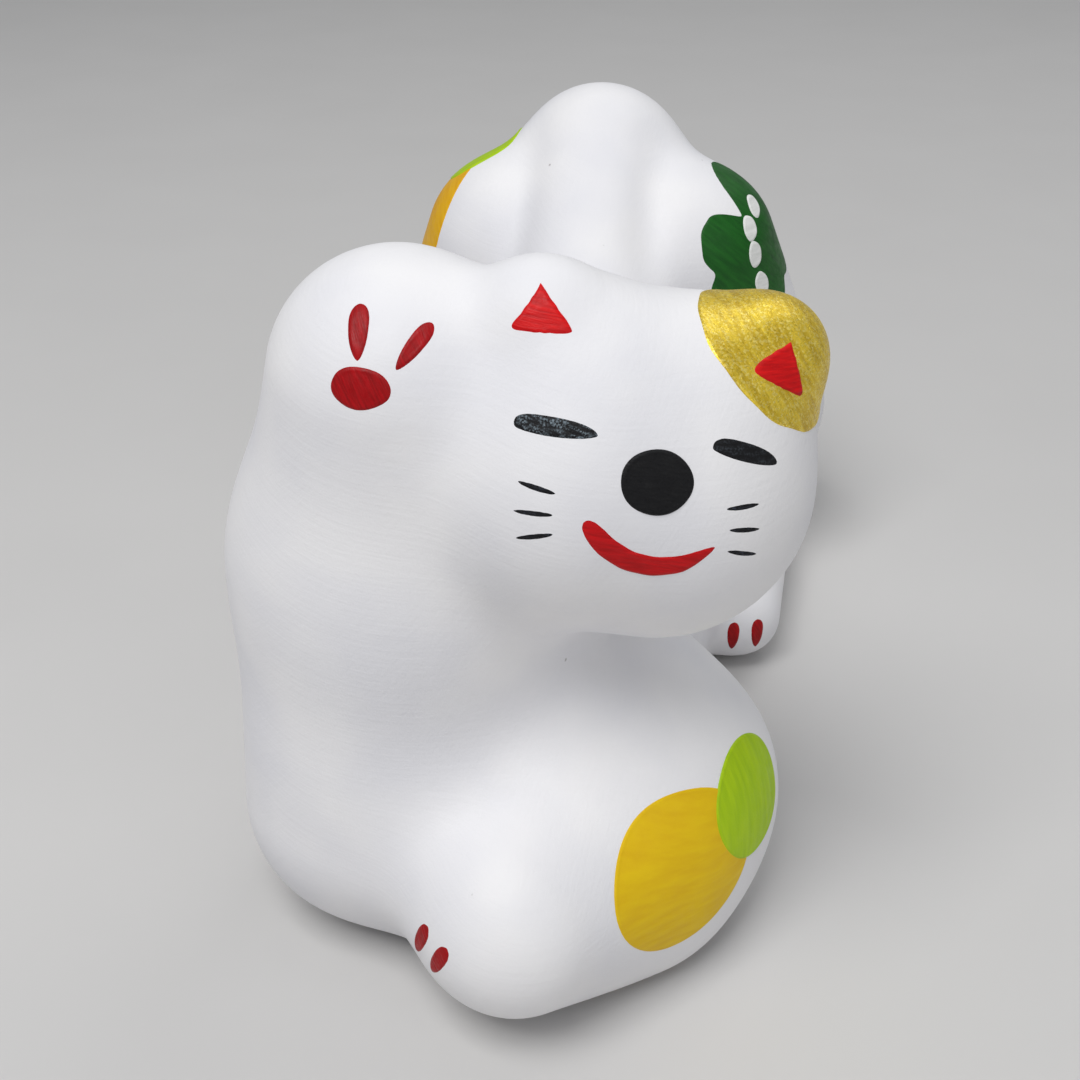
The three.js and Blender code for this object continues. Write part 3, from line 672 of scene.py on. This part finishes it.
# ---- Spots on the right haunch ----
# The same yellow, a shade more orange, with a smaller lime round lapping over its top.
RIGHT_FLANK = facing(mirrored(HAUNCH, -1), -60, 25, 0)
ORANGE = spot_paint("orange_paint", (0.72, 0.36, 0.002), (0.80, 0.45, 0.005), (10, 60, 0))
paint("orange_haunch_spot", "haunch_orange_spot", ORANGE, RIGHT_FLANK,
      blob((-6.0, -1.0), (8.8, 12), 0, 0.012, 3), 8.8, thickness=0.10, steps=72)
paint("lime_haunch_spot", "haunch_lime_spot", LIME, RIGHT_FLANK,
      blob((-6.2, 11.2), (6.0, 6.3), 0, 0.012, 5), 5.6, thickness=0.20, steps=56)

# ---- Pine sprig on the left haunch ----
# A dark green pine bough in the round-lobed manner of folk painting, with a row of white dots
# dabbed down its middle.
LEFT_FLANK = facing(HAUNCH, 60, 25, 0)
PINE_MIDDLE = (1.5, -2.5)
PINE_EDGE = [
    (87, 15), (97, 13.6), (106, 11.5), (114, 8.6), (124, 6.2), (131, 8), (138, 11.3), (154, 12.5),
    (176, 12.2), (190, 10.6), (200, 12), (220, 12.5), (238, 11), (250, 9.5), (262, 11.5), (280, 12.5),
    (298, 11), (310, 9), (325, 11), (345, 11.5), (365, 10.5), (382, 8.5), (398, 11), (420, 14),
    (435, 15.3),
]  # angle, and reach from the middle


def pine_outline(x, y):
    """Out from the middle to the rounded edges of the lobes."""
    angle = np.degrees(np.arctan2(y, x)) % 360
    knots, reaches = np.array(PINE_EDGE).T
    around = np.arange(0, 360, 1.0)
    ring = (around - knots[0]) % 360 + knots[0]
    edge = np.interp(ring, [*knots, knots[0] + 360], [*reaches, reaches[0]])
    soft = np.hanning(15) / np.hanning(15).sum()
    edge = np.convolve(np.pad(edge, 7, "wrap"), soft, "valid")
    reach = np.hypot(x, y) * np.interp(angle, [*around, 360], [*edge, edge[0]])
    way = np.radians(angle)
    return PINE_MIDDLE[0] + reach * np.cos(way), PINE_MIDDLE[1] + reach * np.sin(way)


PINE_GREEN = spot_paint("pine_green", (0.004, 0.070, 0.006), (0.010, 0.115, 0.010), (0, 40, 30))
paint("pine_bough", "pine_sprig", PINE_GREEN, LEFT_FLANK, pine_outline, 8,
      thickness=0.10, steps=96)
DOT_WHITE = spot_paint("dot_white", (0.72, 0.73, 0.70), (0.84, 0.84, 0.82))
for number, place in enumerate([(2.0, 3.7), (-1.5, 0.7), (-1.6, -3.6), (-0.4, -8.7)]):
    paint(f"pine_bough_dot_{number + 1}", f"pine_dot_{number + 1}", DOT_WHITE,
          LEFT_FLANK, blob(place, (1.6, 2.25), -35 + 20 * number, 0.03, number), 1.5,
          thickness=0.2, steps=24)

# ---- Stand, light and camera ----
# A pale floor, a broad soft key from the upper left, a weaker fill and an even room.
floor_mesh = bpy.data.meshes.new("floor")
HALF_FLOOR = 1.5
corners = [(-HALF_FLOOR, -HALF_FLOOR, 0), (HALF_FLOOR, -HALF_FLOOR, 0),
           (HALF_FLOOR, HALF_FLOOR, 0), (-HALF_FLOOR, HALF_FLOOR, 0)]
floor_mesh.from_pydata(corners, [], [(0, 1, 2, 3)])
floor_finish = Finish("pale_floor", 0.85, specular=0.2)
cloudy = floor_finish.noise(40, 2)
floor_finish.colour(floor_finish.blend(cloudy, (0.60, 0.59, 0.58), (0.63, 0.62, 0.61)))
floor_mesh.materials.append(floor_finish.material)
floor = into_scene("floor", floor_mesh)


def aimed(thing, azimuth, elevation, distance, target=(1, 0, 40)):
    """Puts a lamp or camera round the target, in degrees and millimetres, looking at it."""
    a, e = math.radians(azimuth), math.radians(elevation)
    back = np.array([math.sin(a) * math.cos(e), -math.cos(a) * math.cos(e), math.sin(e)])
    thing.location = (np.array(target) + distance * back) * MM
    thing.rotation_euler = (math.radians(90 - elevation), 0, a)
    bpy.context.scene.collection.objects.link(thing)
    return thing


for name, azimuth, elevation, distance, size, power in (
    ("key_softbox", -24, 62, 900, 480, 5.4),
    ("fill_softbox", 50, 25, 900, 600, 0.8),
    ("back_softbox", 150, 55, 900, 500, 1.2),
):
    lamp = bpy.data.lights.new(name, "AREA")
    lamp.energy = power
    lamp.size = size * MM
    aimed(bpy.data.objects.new(name, lamp), azimuth, elevation, distance)

world = bpy.data.worlds.new("even_room")
world.use_nodes = True
world.node_tree.nodes["Background"].inputs["Color"].default_value = (0.93, 0.96, 1.0, 1)
world.node_tree.nodes["Background"].inputs["Strength"].default_value = 0.30
bpy.context.scene.world = world
bpy.context.scene.view_settings.view_transform = "Standard"

lens = bpy.data.cameras.new("camera")
lens.lens = 50
lens.sensor_width = 36
lens.clip_start = 0.01
camera = aimed(bpy.data.objects.new("camera", lens), azimuth=9.7, elevation=30.5, distance=212)
bpy.context.scene.camera = camera
